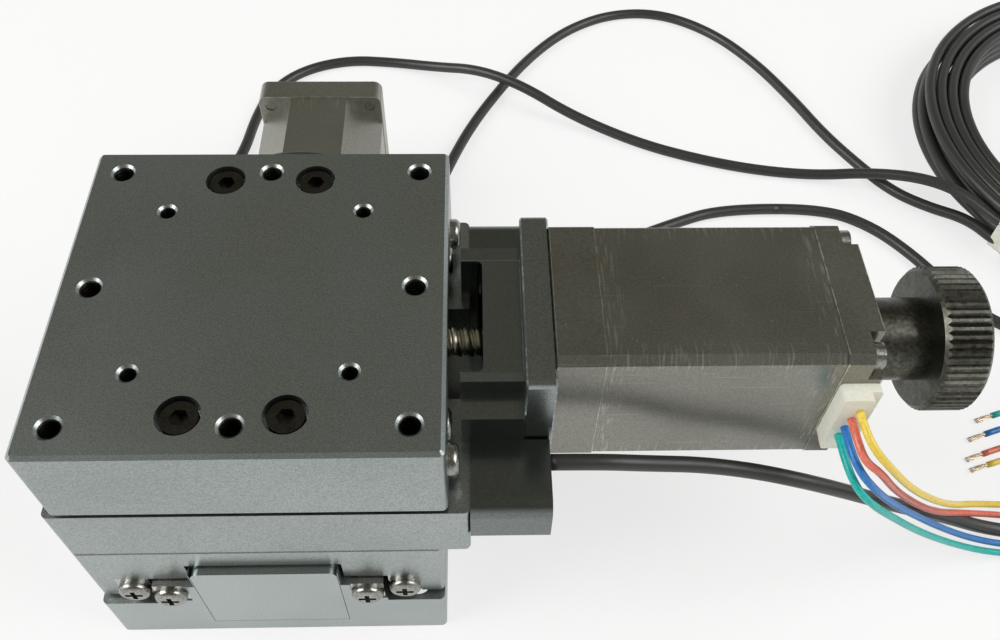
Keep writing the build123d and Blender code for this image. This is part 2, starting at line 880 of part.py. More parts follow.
floor = cable_diameter / 2
lower_exit = lower_axis.from_local_coords((motor_end + housing_length, *housing_exit))
upper_exit = upper_axis.from_local_coords((motor_end + housing_length, *housing_exit))
lower_cable_route = [
    (lower_exit.X, lower_exit.Y, lower_exit.Z),
    (lower_exit.X, 60.0, lower_exit.Z),
    (24.8, 73.5, 4.8),
    (28.4, 89.0, 1.5),
    (34.5, 105.5, floor),
    (43.2, 122.0, floor),
    (52.5, 136.5, floor),
    (63.5, 148.5, floor),
    (77.0, 156.0, floor),
    (92.0, 156.3, floor),
    (106.0, 147.5, floor),
    (116.5, 133.5, floor),
    (124.5, 117.0, floor),
    (130.0, 103.0, floor),
    (136.4, 91.4, floor),
    (142.8, 81.6, floor),
    (150.4, 75.2, 1.9),
    (158.5, 69.6, coil_level + coil_height / 2),
    (166.5, 64.3, coil_level + coil_height / 2),
]
upper_near_route = [
    (upper_exit.X, upper_exit.Y, upper_exit.Z),
    (57.5, upper_exit.Y, upper_exit.Z),
    (67.0, -17.6, 39.6),
    (76.0, -15.9, 35.5),
    (85.5, -13.9, 30.0),
    (95.5, -12.6, 23.5),
    (105.0, -11.7, 17.0),
    (115.5, -10.6, 10.5),
    (126.0, -11.0, 4.9),
    (137.0, -13.2, 1.8),
    (150.0, -13.4, floor),
    (163.5, -13.4, floor),
    (177.0, -10.0, floor),
    (188.0, -1.5, floor),
    (193.5, 11.0, floor),
    (190.0, 24.0, floor),
    (179.5, 31.5, floor),
    (166.5, 33.8, floor),
    (156.0, 38.6, floor),
    (148.8, 47.8, floor),
    (143.0, 59.0, floor),
    (134.6, 69.4, floor),
    (123.5, 75.3, floor),
    (111.0, 75.3, floor),
]
upper_far_route = [
    (111.0, 75.3, floor),
    (97.5, 75.3, floor),
    (84.0, 70.0, floor),
    (71.0, 63.9, floor),
    (58.0, 60.0, floor),
    (46.0, 58.6, 1.7),
    (35.5, 58.2, 3.8),
    (27.0, 58.3, 10.5),
    (20.5, 58.4, 20.5),
    (13.5, 58.5, 30.0),
    (4.5, 58.6, 34.9),
    (-5.0, 59.0, 34.9),
    (-13.5, 60.0, 30.0),
    (-20.5, 61.6, 20.5),
    (-26.0, 65.0, 11.0),
    (-29.0, 73.0, 4.4),
    (-28.4, 84.0, 1.6),
    (-24.5, 96.5, floor),
    (-23.2, 109.5, floor),
    (-20.5, 120.5, floor),
    (-12.5, 129.8, floor),
    (0.0, 134.3, floor),
    (13.0, 133.3, floor),
    (25.5, 129.4, 2.8),
    (37.0, 123.8, 6.4),
    (49.0, 117.0, 6.4),
    (62.5, 108.7, 2.8),
    (79.5, 99.5, floor),
    (95.0, 93.2, floor),
    (110.3, 89.0, floor),
    (124.5, 86.6, 2.0),
    (136.4, 83.8, 5.6),
    (147.5, 78.8, coil_level + 1.5 * coil_height),
    (156.5, 73.2, coil_level + 1.5 * coil_height),
    (165.2, 68.4, coil_level + 1.5 * coil_height),
]


def make_coil(level):
    """Outer shape of the turns of one cable, wound flat."""
    turn_axis = Axis((coil_x, coil_y, 0), (0, 0, 1))
    with BuildPart() as coil:
        with BuildSketch(Plane.XZ.offset(-coil_y)):
            with Locations((coil_x + coil_radius, level + coil_height / 2)):
                RectangleRounded(coil_width, coil_height, 1.2)
        revolve(axis=turn_axis)
    return coil


lower_coil = make_coil(coil_level)
upper_coil = make_coil(coil_level + coil_height)
keep(lower_coil, "lower_cable_coil")
keep(upper_coil, "upper_cable_coil")


def make_cable_end(route, coil):
    """Cable that runs up to the outside of its coil."""
    cord = make_cord(route, cable_diameter)
    with BuildPart() as cable:
        add(cord.part)
        add(coil.part, mode=Mode.SUBTRACT)
    return cable


keep(make_cable_end(lower_cable_route, lower_coil), "lower_sensor_cable")
keep(make_cord(upper_near_route, cable_diameter), "upper_sensor_cable")
keep(make_cable_end(upper_far_route, upper_coil), "upper_cable_run")


def make_tie():
    """Cable tie around both coils."""
    face = Plane(origin=(coil_x, coil_y, 0)).rotated((0, 0, tie_angle))
    section = Plane(
        origin=face.from_local_coords((coil_radius, 0, coil_level + coil_height)),
        x_dir=face.x_dir,
        z_dir=face.y_dir,
    )
    room = 2 * tie_gap
    wall = room + 2 * tie_thickness
    with BuildPart() as tie:
        with BuildSketch(section):
            RectangleRounded(coil_width + wall, 2 * coil_height + wall, 1.6)
            RectangleRounded(
                coil_width + room, 2 * coil_height + room, 1.2, mode=Mode.SUBTRACT
            )
        extrude(amount=tie_width / 2, both=True)
    return tie


keep(make_tie(), "cable_tie")

lead_floor = lead_diameter / 2
plug_face = upper_axis.origin.Y - motor_size / 2 - cap_proud - plug_depth
green_lead_route = [
    (93.8, plug_face, 44.8),
    (93.8, -20.4, 44.8),
    (95.2, -24.4, 43.0),
    (97.9, -26.2, 40.6),
    (104.9, -24.5, 32.0),
    (114.0, -21.9, 20.8),
    (125.2, -19.2, 9.4),
    (135.8, -17.9, 2.2),
    (146.2, -18.0, lead_floor),
    (156.6, -17.4, 2.0),
    (164.8, -15.6, 5.2),
    (171.0, -9.8, 5.2),
    (175.4, -2.4, 1.6),
    (176.0, 6.2, lead_floor),
    (171.4, 13.4, lead_floor),
    (163.8, 17.0, lead_floor),
    (155.4, 16.8, lead_floor),
    (147.6, 14.2, lead_floor),
]
blue_lead_route = [
    (94.1, plug_face, 47.1),
    (94.1, -20.0, 47.1),
    (95.3, -23.4, 45.8),
    (98.2, -24.8, 42.8),
    (103.9, -23.1, 34.8),
    (111.8, -20.4, 24.8),
    (121.8, -17.8, 13.6),
    (131.4, -16.4, 5.4),
    (141.0, -16.1, 1.2),
    (149.6, -16.1, 1.8),
    (156.6, -14.9, 4.8),
    (162.4, -10.6, 4.8),
    (168.0, -5.0, 1.6),
    (170.2, 2.4, lead_floor),
    (166.8, 9.4, lead_floor),
    (159.8, 12.6, lead_floor),
    (152.0, 12.2, lead_floor),
    (144.6, 9.6, lead_floor),
]
red_lead_route = [
    (94.5, plug_face, 49.5),
    (94.5, -19.6, 49.5),
    (95.4, -22.8, 48.2),
    (98.4, -23.6, 46.0),
    (103.9, -22.0, 37.3),
    (111.7, -18.9, 26.4),
    (120.4, -15.8, 16.0),
    (129.6, -12.2, 8.0),
    (138.6, -10.0, 2.6),
    (148.2, -10.0, lead_floor),
    (157.2, -8.2, lead_floor),
    (163.4, -2.8, lead_floor),
    (163.0, 4.4, lead_floor),
    (156.8, 8.0, lead_floor),
    (149.4, 7.2, lead_floor),
    (142.6, 4.8, lead_floor),
]
yellow_lead_route = [
    (95.2, plug_face, 51.6),
    (95.2, -19.2, 51.6),
    (96.6, -22.2, 50.2),
    (99.8, -23.6, 47.0),
    (106.4, -21.8, 37.6),
    (114.8, -18.6, 26.8),
    (124.4, -14.2, 15.4),
    (133.4, -9.8, 7.0),
    (142.6, -7.6, 1.8),
    (150.6, -6.6, lead_floor),
    (156.0, -6.4, lead_floor),
    (159.1, -3.3, lead_floor),
    (159.1, 1.1, lead_floor),
    (156.0, 4.2, lead_floor),
    (149.5, 4.4, lead_floor),
    (142.8, 2.2, lead_floor),
]
keep(make_cord(green_lead_route, lead_diameter), "green_motor_lead")
keep(make_cord(blue_lead_route, lead_diameter), "blue_motor_lead")
keep(make_cord(red_lead_route, lead_diameter), "red_motor_lead")
keep(make_cord(yellow_lead_route, lead_diameter), "yellow_motor_lead")
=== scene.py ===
"""Looks of the two-axis linear translation stage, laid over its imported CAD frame. Metres, +Z up."""

import math

import bpy
from mathutils import Matrix, Vector


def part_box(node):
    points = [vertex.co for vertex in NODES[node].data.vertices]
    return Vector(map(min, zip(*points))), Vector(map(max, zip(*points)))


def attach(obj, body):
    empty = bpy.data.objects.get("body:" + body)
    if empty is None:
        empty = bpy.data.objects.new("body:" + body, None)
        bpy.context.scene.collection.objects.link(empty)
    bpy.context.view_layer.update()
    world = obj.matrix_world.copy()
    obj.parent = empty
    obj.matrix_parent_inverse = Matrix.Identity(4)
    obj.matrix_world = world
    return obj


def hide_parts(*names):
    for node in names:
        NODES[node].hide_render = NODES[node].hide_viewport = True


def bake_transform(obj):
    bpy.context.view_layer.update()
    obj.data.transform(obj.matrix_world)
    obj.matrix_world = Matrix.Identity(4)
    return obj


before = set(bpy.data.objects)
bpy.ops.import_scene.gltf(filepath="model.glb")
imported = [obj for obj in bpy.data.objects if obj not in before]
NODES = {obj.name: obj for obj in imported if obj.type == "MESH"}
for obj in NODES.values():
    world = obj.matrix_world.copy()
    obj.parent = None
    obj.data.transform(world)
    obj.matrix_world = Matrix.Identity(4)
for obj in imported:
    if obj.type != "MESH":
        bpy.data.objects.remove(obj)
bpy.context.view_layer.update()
MM = 0.001
UP = Vector((0, 0, 1))

# ---------------------------------------------------------------- camera
SENSOR_MM = 36.0
FOCAL_PX = 971.1
WIDTH_PX = 1000.0
SHIFT_PX = 16.3
PITCH = math.radians(53.69)
YAW = math.radians(2.45)
ROLL = math.radians(1.54)
EYE = Vector((0.0357, -0.0943, 0.1789))


def link(name, data):
    """New object in the scene's collection."""
    obj = bpy.data.objects.new(name, data)
    bpy.context.scene.collection.objects.link(obj)
    return obj


def make_camera():
    """Camera at the eye point, turned by pitch, yaw and roll."""
    data = bpy.data.cameras.new("camera")
    data.sensor_fit = "HORIZONTAL"
    data.sensor_width = SENSOR_MM
    data.lens = SENSOR_MM * FOCAL_PX / WIDTH_PX
    data.shift_y = SHIFT_PX / WIDTH_PX
    data.clip_start = 0.005
    forward = Vector(
        (
            math.sin(YAW) * math.cos(PITCH),
            math.cos(YAW) * math.cos(PITCH),
            -math.sin(PITCH),
        )
    )
    level = Vector((math.cos(YAW), -math.sin(YAW), 0))
    upright = level.cross(forward)
    right = math.cos(ROLL) * level + math.sin(ROLL) * upright
    up = -math.sin(ROLL) * level + math.cos(ROLL) * upright
    camera = link("camera", data)
    turn = Matrix((right, up, -forward)).transposed().to_4x4()
    camera.matrix_world = Matrix.Translation(EYE) @ turn
    bpy.context.scene.camera = camera


make_camera()

# ---------------------------------------------------------------- cord routes, in mm
REST_SHIFT = 1.4
STAGE_HEIGHT = 31.0
MOTOR_HALF = 14.0
PLUG_GAP = 0.15
PLUG_DEPTH = 3.2
CABLE_D = 2.7
LEAD_D = 1.3
FLOOR = CABLE_D / 2
LEAD_FLOOR = LEAD_D / 2
COIL_LEVEL = 0.7
COIL_HEIGHT = 2 * CABLE_D
COIL_CENTRE = (214.0, 95.0)
COIL_RADIUS = 54.0
LOWER_EXIT = (20.8, 47.4, 12.0)
UPPER_EXIT = (47.4, -19.4, 43.0)
PLUG_FACE = REST_SHIFT - MOTOR_HALF - PLUG_GAP - PLUG_DEPTH

LOWER_CABLE_ROUTE = [
    LOWER_EXIT,
    (LOWER_EXIT[0], 60.0, LOWER_EXIT[2]),
    (24.8, 73.5, 4.8),
    (28.4, 89.0, 1.5),
    (34.5, 105.5, FLOOR),
    (43.2, 122.0, FLOOR),
    (52.5, 136.5, FLOOR),
    (63.5, 148.5, FLOOR),
    (77.0, 156.0, FLOOR),
    (92.0, 156.3, FLOOR),
    (106.0, 147.5, FLOOR),
    (116.5, 133.5, FLOOR),
    (124.5, 117.0, FLOOR),
    (130.0, 103.0, FLOOR),
    (136.4, 91.4, FLOOR),
    (142.8, 81.6, FLOOR),
    (150.4, 75.2, 1.9),
    (158.5, 69.6, COIL_LEVEL + COIL_HEIGHT / 2),
    (166.5, 64.3, COIL_LEVEL + COIL_HEIGHT / 2),
]
UPPER_NEAR_ROUTE = [
    UPPER_EXIT,
    (55.0, UPPER_EXIT[1], UPPER_EXIT[2]),
    (63.5, -18.6, 40.8),
    (72.5, -17.7, 38.6),
    (82.0, -17.7, 36.2),
    (91.5, -18.0, 32.8),
    (100.5, -17.2, 27.2),
    (109.0, -16.2, 21.2),
    (117.5, -14.8, 14.9),
    (126.0, -13.2, 8.6),
    (135.0, -13.3, 3.8),
    (143.5, -13.6, 1.6),
    (152.5, -13.4, FLOOR),
    (163.5, -13.4, FLOOR),
    (177.0, -10.0, FLOOR),
    (188.0, -1.5, FLOOR),
    (193.5, 11.0, FLOOR),
    (190.0, 24.0, FLOOR),
    (179.5, 31.5, FLOOR),
    (166.5, 33.8, FLOOR),
    (156.0, 38.6, FLOOR),
    (148.8, 47.8, FLOOR),
    (143.0, 59.0, FLOOR),
    (134.6, 69.4, FLOOR),
    (123.5, 75.3, FLOOR),
    (111.0, 75.3, FLOOR),
]
UPPER_FAR_ROUTE = [
    (111.0, 75.3, FLOOR),
    (97.5, 75.3, FLOOR),
    (84.0, 70.0, FLOOR),
    (71.0, 63.9, FLOOR),
    (58.0, 60.0, FLOOR),
    (46.0, 58.6, 1.7),
    (35.5, 58.2, 3.8),
    (27.0, 58.3, 10.5),
    (20.5, 58.4, 20.5),
    (13.5, 58.5, 30.0),
    (4.5, 58.6, 34.9),
    (-5.0, 59.0, 34.9),
    (-13.5, 60.0, 30.0),
    (-20.5, 61.6, 20.5),
    (-26.0, 65.0, 11.0),
    (-29.0, 73.0, 4.4),
    (-28.4, 84.0, 1.6),
    (-24.5, 96.5, FLOOR),
    (-23.2, 109.5, FLOOR),
    (-20.5, 120.5, FLOOR),
    (-12.5, 129.8, FLOOR),
    (0.0, 134.3, FLOOR),
    (13.0, 133.3, FLOOR),
    (25.5, 129.4, 2.8),
    (37.0, 123.8, 6.4),
    (49.0, 117.0, 6.4),
    (62.5, 108.7, 2.8),
    (79.5, 99.5, FLOOR),
    (95.0, 93.2, FLOOR),
    (110.3, 89.0, FLOOR),
    (124.5, 86.6, 2.0),
    (136.4, 83.8, 5.6),
    (147.5, 78.8, COIL_LEVEL + 1.5 * COIL_HEIGHT),
    (156.5, 73.2, COIL_LEVEL + 1.5 * COIL_HEIGHT),
    (165.2, 68.4, COIL_LEVEL + 1.5 * COIL_HEIGHT),
]
GREEN_LEAD_ROUTE = [
    (93.8, PLUG_FACE, 44.8),
    (93.8, -20.4, 44.8),
    (95.2, -24.4, 43.0),
    (97.9, -26.2, 40.6),
    (104.9, -24.5, 32.0),
    (114.0, -21.9, 20.8),
    (125.2, -19.2, 9.4),
    (135.8, -17.9, 2.2),
    (146.2, -18.0, LEAD_FLOOR),
    (156.6, -17.4, 2.0),
    (164.8, -15.6, 5.2),
    (171.0, -9.8, 5.2),
    (175.4, -2.4, 1.6),
    (176.0, 6.2, LEAD_FLOOR),
    (171.4, 13.4, LEAD_FLOOR),
    (163.8, 17.0, LEAD_FLOOR),
    (155.4, 16.8, LEAD_FLOOR),
    (147.6, 14.2, LEAD_FLOOR),
]
BLUE_LEAD_ROUTE = [
    (94.1, PLUG_FACE, 47.1),
    (94.1, -20.0, 47.1),
    (95.3, -23.4, 45.8),
    (98.2, -24.8, 42.8),
    (103.9, -23.1, 34.8),
    (111.8, -20.4, 24.8),
    (121.8, -17.8, 13.6),
    (131.4, -16.4, 5.4),
    (141.0, -16.1, 1.2),
    (149.6, -16.1, 1.8),
    (156.6, -14.9, 4.8),
    (162.4, -10.6, 4.8),
    (168.0, -5.0, 1.6),
    (170.2, 2.4, LEAD_FLOOR),
    (166.8, 9.4, LEAD_FLOOR),
    (159.8, 12.6, LEAD_FLOOR),
    (152.0, 12.2, LEAD_FLOOR),
    (144.6, 9.6, LEAD_FLOOR),
]
RED_LEAD_ROUTE = [
    (94.5, PLUG_FACE, 49.5),
    (94.5, -19.6, 49.5),
    (95.4, -22.8, 48.2),
    (98.4, -23.6, 46.0),
    (103.9, -22.0, 37.3),
    (111.7, -18.9, 26.4),
    (120.4, -15.8, 16.0),
    (129.6, -12.2, 8.0),
    (138.6, -10.0, 2.6),
    (148.2, -10.0, LEAD_FLOOR),
    (157.2, -8.2, LEAD_FLOOR),
    (163.4, -2.8, LEAD_FLOOR),
    (163.0, 4.4, LEAD_FLOOR),
    (156.8, 8.0, LEAD_FLOOR),
    (149.4, 7.2, LEAD_FLOOR),
    (142.6, 4.8, LEAD_FLOOR),
]
YELLOW_LEAD_ROUTE = [
    (95.2, PLUG_FACE, 51.6),
    (95.2, -19.2, 51.6),
    (96.6, -22.2, 50.2),
    (99.8, -23.6, 47.0),
    (106.4, -21.8, 37.6),
    (114.8, -18.6, 26.8),
    (124.4, -14.2, 15.4),
    (133.4, -9.8, 7.0),
    (142.6, -7.6, 1.8),
    (150.6, -6.6, LEAD_FLOOR),
    (156.0, -6.4, LEAD_FLOOR),
    (159.1, -3.3, LEAD_FLOOR),
    (159.1, 1.1, LEAD_FLOOR),
    (156.0, 4.2, LEAD_FLOOR),
    (149.5, 4.4, LEAD_FLOOR),
    (142.8, 2.2, LEAD_FLOOR),
]

# ---------------------------------------------------------------- cords
COIL_POINTS = 16
COIL_TURNS = 7.5
COIL_START = math.radians(213)
COIL_SLOTS = (4.05, 1.35, -1.35, -4.05, -4.05, -1.35, 1.35, 4.05)
COIL_FAN = 0.4
LAYER_TURNS = 4
CHANGE_START = 0.24
CHANGE_END = 0.5
STRAY_START = 0.6
LOWER_STRAY = 4.0


def smooth(value):
    """0 below 0, 1 above 1, and an even ramp between."""
    value = min(max(value, 0.0), 1.0)
    return value * value * (3 - 2 * value)


def coil_turns(level, stray):
    """Control points of one cable's turns: inward on its lower layer, outward on its upper one.

    They fan out away from the tie, and the end of the first turn stands off by stray mm.
    """
    inside_control = 1 / math.cos(math.pi / COIL_POINTS)
    points = []
    for step in range(int(COIL_TURNS * COIL_POINTS)):
        angle = COIL_START + step * math.tau / COIL_POINTS
        turn = step // COIL_POINTS
        phase = step / COIL_POINTS - turn
        change = smooth((phase - CHANGE_START) / (CHANGE_END - CHANGE_START))
        after = min(turn + 1, len(COIL_SLOTS) - 1)
        offset = COIL_SLOTS[turn] + change * (COIL_SLOTS[after] - COIL_SLOTS[turn])
        layer = (turn >= LAYER_TURNS) + change * (
            (after >= LAYER_TURNS) - (turn >= LAYER_TURNS)
        )
        fan = 1 + COIL_FAN * (1 - math.cos(angle - COIL_START)) / 2
        radius = COIL_RADIUS + COIL_SLOTS[0] - (COIL_SLOTS[0] - offset) * fan
        if turn == 0 and phase > STRAY_START:
            radius += stray * math.sin(math.pi * (phase - STRAY_START) / (1 - STRAY_START))
        radius *= inside_control
        height = level + CABLE_D / 2 + layer * CABLE_D
        x = COIL_CENTRE[0] + radius * math.cos(angle)
        y = COIL_CENTRE[1] + radius * math.sin(angle)
        points.append((x, y, height))
    return points


CORD_STEPS = 10
CORD_SIDES = 6


def route_curve(name, points, diameter=0.0):
    """Smooth open curve with the route's points as its control points."""
    data = bpy.data.curves.new(name, "CURVE")
    data.dimensions = "3D"
    spline = data.splines.new("NURBS")
    spline.points.add(len(points) - 1)
    for control, (x, y, z) in zip(spline.points, points):
        control.co = (x * MM, y * MM, z * MM, 1)
    spline.order_u = 3
    spline.use_endpoint_u = True
    spline.use_smooth = True
    data.resolution_u = CORD_STEPS
    spline.resolution_u = CORD_STEPS
    data.bevel_depth = diameter / 2 * MM
    data.bevel_resolution = CORD_SIDES
    data.use_fill_caps = True
    return link(name, data)


def route_line(name, points):
    """Points along the route's spline."""
    curve = route_curve(name, points)
    line_mesh = bpy.data.meshes.new_from_object(curve)
    line = [vertex.co.copy() for vertex in line_mesh.vertices]
    bpy.data.meshes.remove(line_mesh)
    bpy.data.objects.remove(curve)
    return line


def mesh_object(name, verts, faces, smooth_shading=True):
    """Mesh object in the scene."""
    data = bpy.data.meshes.new(name)
    data.from_pydata(verts, [], faces)
    data.validate()
    if smooth_shading:
        data.polygons.foreach_set("use_smooth", [True] * len(data.polygons))
    return link(name, data)


def tube(name, line, radius, sides=14):
    """Round mesh tube along a line, closed at both ends."""
    verts = []
    faces = []
    side = None
    for number, place in enumerate(line):
        ahead = line[min(number + 1, len(line) - 1)] - line[max(number - 1, 0)]
        ahead.normalize()
        if side is None:
            side = ahead.cross(UP)
            if side.length < 0.1:
                side = Vector((1, 0, 0))
        side = (side - ahead * side.dot(ahead)).normalized()
        other = ahead.cross(side)
        for corner in range(sides):
            angle = corner * math.tau / sides
            verts.append(place + radius * (math.cos(angle) * side + math.sin(angle) * other))
    for ring in range(len(line) - 1):
        low = ring * sides
        for corner in range(sides):
            after = (corner + 1) % sides
            faces.append((low + corner, low + after, low + sides + after, low + sides + corner))
    faces.append(tuple(reversed(range(sides))))
    faces.append(tuple(range(len(verts) - sides, len(verts))))
    return mesh_object(name, verts, faces)


lower_cable = route_curve(
    "lower_cable", LOWER_CABLE_ROUTE[:-1] + coil_turns(COIL_LEVEL, LOWER_STRAY), CABLE_D
)
upper_far_cable = route_curve(
    "upper_far_cable",
    UPPER_FAR_ROUTE[:-1] + coil_turns(COIL_LEVEL + COIL_HEIGHT, 0.0),
    CABLE_D,
)
NEAR_SIDES = 20
near_line = route_line("near_line", UPPER_NEAR_ROUTE)
upper_near_cable = tube("upper_near_cable", near_line, CABLE_D / 2 * MM, NEAR_SIDES)
LEADS = {
    "green": GREEN_LEAD_ROUTE,
    "blue": BLUE_LEAD_ROUTE,
    "red": RED_LEAD_ROUTE,
    "yellow": YELLOW_LEAD_ROUTE,
}
STRAND_COUNT = 7
STRAND_RADIUS = 0.13 * MM
STRAND_STEPS = 12
STRAND_SIDES = 6
STRAND_SPREAD = 0.3 * MM
STRAND_TWIST = 2.2
STRAND_DROP = 0.2 * MM
STRAND_SUNK = 0.4 * MM
STRIPPED = 4.5 * MM
lead_lines = {}
leads = {}
strands = {}
for colour, route in LEADS.items():
    lead_lines[colour] = route_line(f"{colour}_line", route)
    leads[colour] = tube(f"{colour}_lead", lead_lines[colour], LEAD_D / 2 * MM)


def make_strands(name, line):
    """Twisted bare strands past the end of a lead, splayed a little."""
    tip = line[-1]
    ahead = (line[-1] - line[-4]).normalized()
    side = Vector((-ahead.y, ahead.x, 0)).normalized()
    verts = []
    faces = []
    for number in range(STRAND_COUNT):
        start = number * math.tau / STRAND_COUNT
        reach = 0.0 if number == 0 else STRAND_SPREAD
        path = []
        for step in range(STRAND_STEPS + 1):
            along = step / STRAND_STEPS
            angle = start + along * STRAND_TWIST
            spread = reach * (1 + 0.9 * along * (number % 3) / 2)
            drop = STRAND_DROP * along
            path.append(
                tip
                + ahead * (STRIPPED * along - STRAND_SUNK)
                + side * math.cos(angle) * spread
                + UP * (math.sin(angle) * spread * 0.8 - drop)
            )
        piece = tube("strand", path, STRAND_RADIUS, STRAND_SIDES)
        base = len(verts)
        verts.extend(vertex.co.copy() for vertex in piece.data.vertices)
        faces.extend(tuple(base + v for v in poly.vertices) for poly in piece.data.polygons)
        bpy.data.objects.remove(piece)
    return mesh_object(name, verts, faces)


for colour, line in lead_lines.items():
    strands[colour] = make_strands(f"{colour}_lead_strands", line)

# ---------------------------------------------------------------- threads
LOWER_AXIS = (Vector((0, REST_SHIFT, 0)) * MM, Vector((0, 1, 0)), Vector((-1, 0, 0)))
UPPER_AXIS = (
    Vector((REST_SHIFT, REST_SHIFT, STAGE_HEIGHT)) * MM,
    Vector((1, 0, 0)),
    Vector((0, 1, 0)),
)
SCREW_HEIGHT = 16.0
SCREW_LEAD = 2.0
SCREW_PROFILE = (
    (0.0, 2.5),
    (0.75, 2.5),
    (0.95, 1.95),
    (1.2, 1.95),
    (1.3, 2.25),
    (1.75, 2.25),
    (1.85, 1.95),
    (1.97, 2.2),
)
THREAD_START = -24.0
THREAD_END = 37.8
JOURNAL_START = -29.4
JOURNAL_END = -25.4
JOURNAL_RADIUS = 2.0
SCREW_RADIUS = 2.5
CORE_RADIUS = 1.9
AXIS_RADIUS = 0.01
RUNOUT = 0.5
TURN_STEPS = 40


def helix(origin, along, across, profile, lead, start, end, steps=TURN_STEPS):
    """Vertices and faces of a right-hand screw surface; profile is (offset, radius) in mm."""
    up = along.cross(across)
    verts = []
    faces = []
    columns = len(profile) + 1
    turns = int((end - start) / lead) + 2
    for row in range(turns * steps + 1):
        angle = row * math.tau / steps
        ray = math.cos(angle) * across + math.sin(angle) * up
        shift = start - lead + lead * row / steps
        for offset, radius in (*profile, (profile[0][0] + lead, profile[0][1])):
            place = min(max(shift + offset, start), end)
            verts.append(origin + along * place * MM + ray * radius * MM)
    for row in range(turns * steps):
        for column in range(columns - 1):
            a = row * columns + column
            faces.append((a, a + 1, a + columns + 1, a + columns))
    return verts, faces


def lathe(origin, along, across, outline, sides=40):
    """Vertices and faces of a turned form; outline is (place, radius) in mm."""
    up = along.cross(across)
    verts = []
    faces = []
    for place, radius in outline:
        for corner in range(sides):
            angle = corner * math.tau / sides
            ray = math.cos(angle) * across + math.sin(angle) * up
            verts.append(origin + along * place * MM + ray * radius * MM)
    for ring in range(len(outline) - 1):
        low = ring * sides
        for corner in range(sides):
            after = (corner + 1) % sides
            faces.append((low + corner, low + after, low + sides + after, low + sides + corner))
    return verts, faces


def joined(name, parts):
    """One mesh object from several lists of vertices and faces."""
    verts = []
    faces = []
    for more_verts, more_faces in parts:
        base = len(verts)
        verts.extend(more_verts)
        faces.extend(tuple(base + index for index in face) for face in more_faces)
    return mesh_object(name, verts, faces)


def make_drive_screw(name, axis, shaft_end):
    """Threaded screw with its journal, and the plain shaft through the motor."""
    origin, along, across = axis
    centre = origin + Vector((0, 0, SCREW_HEIGHT * MM))
    tip = 0.25
    journal = (
        (JOURNAL_START, AXIS_RADIUS),
        (JOURNAL_START, JOURNAL_RADIUS - tip),
        (JOURNAL_START + tip, JOURNAL_RADIUS),
        (JOURNAL_END, JOURNAL_RADIUS),
        (JOURNAL_END, SCREW_RADIUS - tip),
        (JOURNAL_END + tip, SCREW_RADIUS),
        (THREAD_START, SCREW_RADIUS),
        (THREAD_START + RUNOUT, CORE_RADIUS),
    )
    shaft = (
        (THREAD_END - RUNOUT, CORE_RADIUS),
        (THREAD_END, SCREW_RADIUS),
        (shaft_end - tip, SCREW_RADIUS),
        (shaft_end, SCREW_RADIUS - tip),
        (shaft_end, AXIS_RADIUS),
    )
    parts = [
        lathe(centre, along, across, journal),
        helix(centre, along, across, SCREW_PROFILE, SCREW_LEAD, THREAD_START, THREAD_END),
        lathe(centre, along, across, shaft),
    ]
    return joined(name, parts)


def shaft_reach(node, axis_index):
    """How far a CAD node reaches along its axis from the middle of its stage, in mm."""
    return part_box(node)[1][axis_index] / MM - REST_SHIFT


lower_screw = make_drive_screw(
    "lower_drive_screw", LOWER_AXIS, shaft_reach("lower_lead_screw", 1)
)
upper_screw = make_drive_screw(
    "upper_drive_screw", UPPER_AXIS, shaft_reach("upper_lead_screw", 0)
)

M4_WALL = 1.66
M3_WALL = 1.26
M4_LEAD = 0.7
M3_LEAD = 0.5
HOLE_THREAD_TOP = 0.5
HOLE_THREAD_END = 5.2
HOLE_THREAD_STEPS = 24
TABLE_TOP = 2 * STAGE_HEIGHT
M4_PLACES = [(x, y) for x in (-25, 0, 25) for y in (-25, 0, 25) if (x, y) != (0, 0)]
M3_PLACES = [(x, y) for x in (-16, 16) for y in (-16, 16)]


def make_hole_threads():
    """Threads in the tapped holes of the top table."""
    parts = []
    for places, wall, lead in ((M4_PLACES, M4_WALL, M4_LEAD), (M3_PLACES, M3_WALL, M3_LEAD)):
        crest = wall - lead * 0.22
        profile = ((0.0, wall), (lead * 0.4, crest), (lead * 0.6, crest))
        for x, y in places:
            origin = Vector((x + REST_SHIFT, y + REST_SHIFT, TABLE_TOP)) * MM
            parts.append(
                helix(
                    origin,
                    -UP,
                    Vector((1, 0, 0)),
                    profile,
                    lead,
                    HOLE_THREAD_TOP,
                    HOLE_THREAD_END,
                    HOLE_THREAD_STEPS,
                )
            )
    return joined("upper_table_threads", parts)


hole_threads = make_hole_threads()


